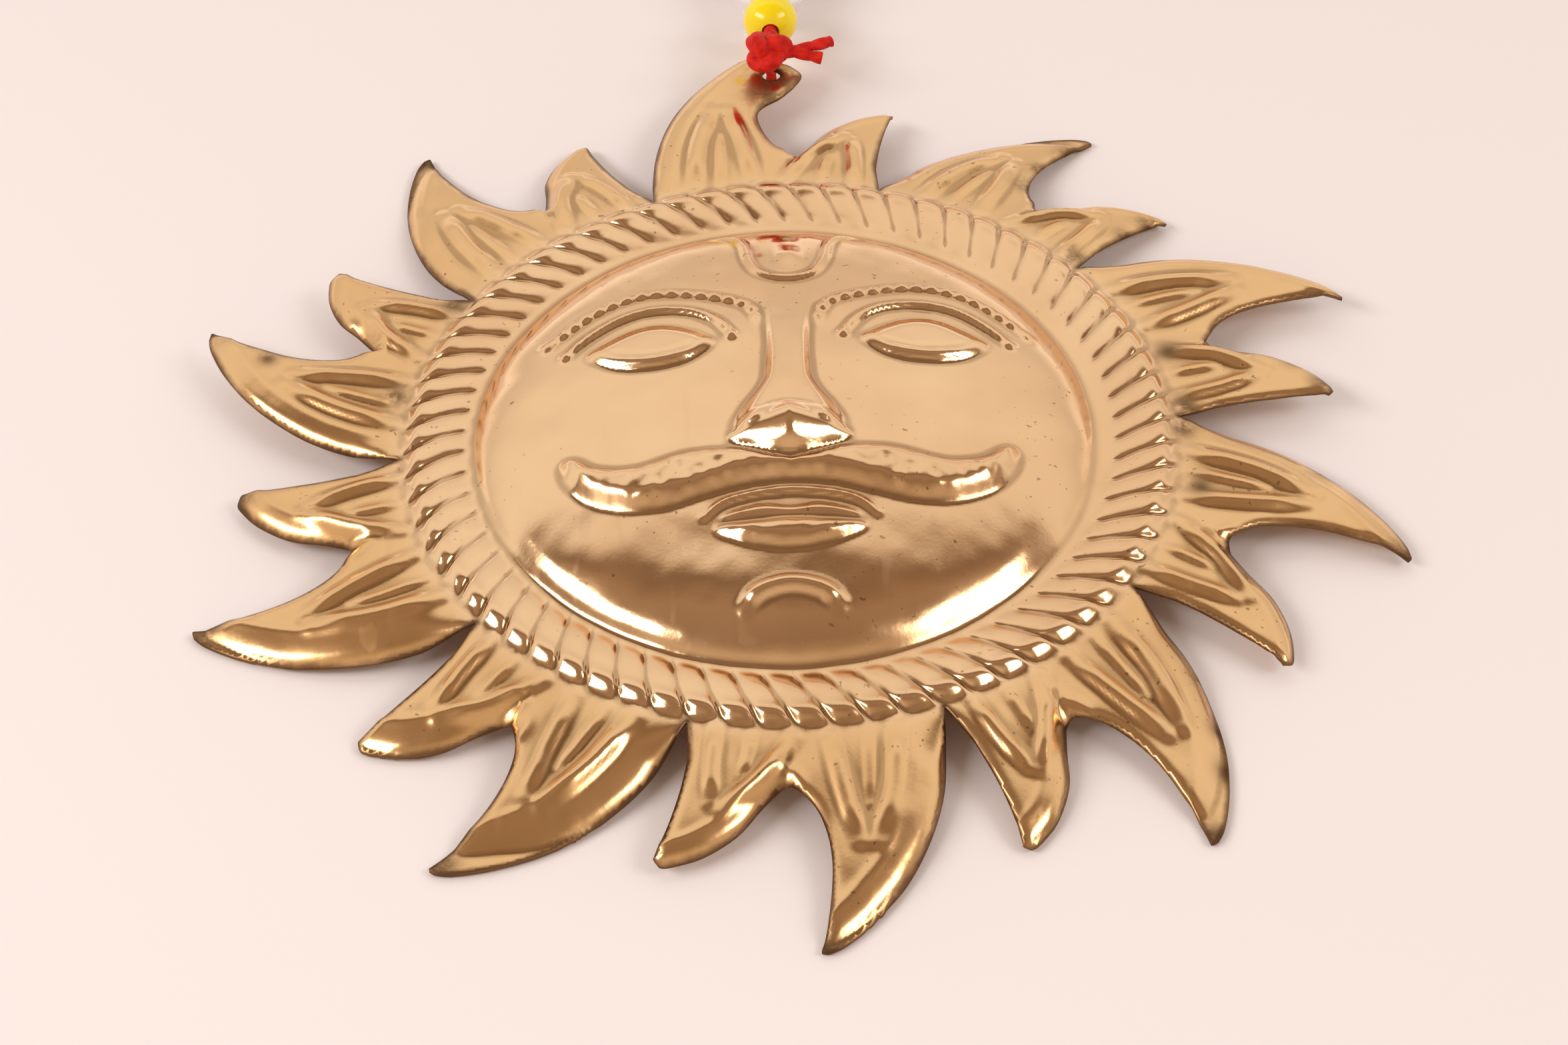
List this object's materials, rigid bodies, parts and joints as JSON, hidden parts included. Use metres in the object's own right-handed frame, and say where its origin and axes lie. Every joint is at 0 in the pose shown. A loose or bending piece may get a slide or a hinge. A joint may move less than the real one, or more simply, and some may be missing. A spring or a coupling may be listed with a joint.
{
  "type": "sun-face wall hanging",
  "caption": "Stamped metal sun face with curling rays and a rope border, hung by a knotted red thread with a yellow bead and a clear bead.",
  "frame": {"origin": "middle of the sun plate at the level that its drooping ray tips rest on", "axes": "+Z out of the face, +Y toward the ray that hangs the plate, +X to the face's own left as seen from the front (picture right)"},
  "size_m": [0.1202, 0.1671, 0.0141],
  "materials": {
    "stamped_metal": "polished, tarnished at the edges",
    "red_thread": "twisted cotton",
    "yellow_bead": "gloss",
    "clear_bead": "clear gloss"
  },
  "bodies": {
    "sun": {"sun_plate": "stamped_metal", "tie_loop": "red_thread"},
    "knot": {"lower_knot": "red_thread", "knot_tail_long": "red_thread", "knot_tail_short": "red_thread"},
    "strand": {"bead_strand": "red_thread", "upper_knot": "red_thread"},
    "yellow_bead": {"yellow_bead": "yellow_bead"},
    "clear_bead": {"clear_bead": "clear_bead"},
    "loop": {"hanging_loop": "red_thread"}
  },
  "joints": [
    {"name": "string_swing", "type": "hinge", "parent": "sun", "child": "knot", "pos_m": [-0.0012, 0.0581, 0.0067], "axis": [0, 0, 1], "range_deg": [-60, 20]},
    {"name": "string_lift", "type": "hinge", "parent": "knot", "child": "strand", "pos_m": [-0.0012, 0.0581, 0.0067], "axis": [1, 0, 0], "range_deg": [0, 150]},
    {"name": "yellow_bead_spin", "type": "hinge", "parent": "strand", "child": "yellow_bead", "pos_m": [-0.0012, 0.0581, 0.0067], "axis": [0, 0.9848, -0.1736], "continuous": true},
    {"name": "clear_bead_spin", "type": "hinge", "parent": "strand", "child": "clear_bead", "pos_m": [-0.0012, 0.0581, 0.0067], "axis": [0, 0.9848, -0.1736], "continuous": true},
    {"name": "loop_swing", "type": "hinge", "parent": "strand", "child": "loop", "pos_m": [-0.0012, 0.07903, 0.00301], "axis": [0, 0, 1], "range_deg": [-45, 75]}
  ]
}
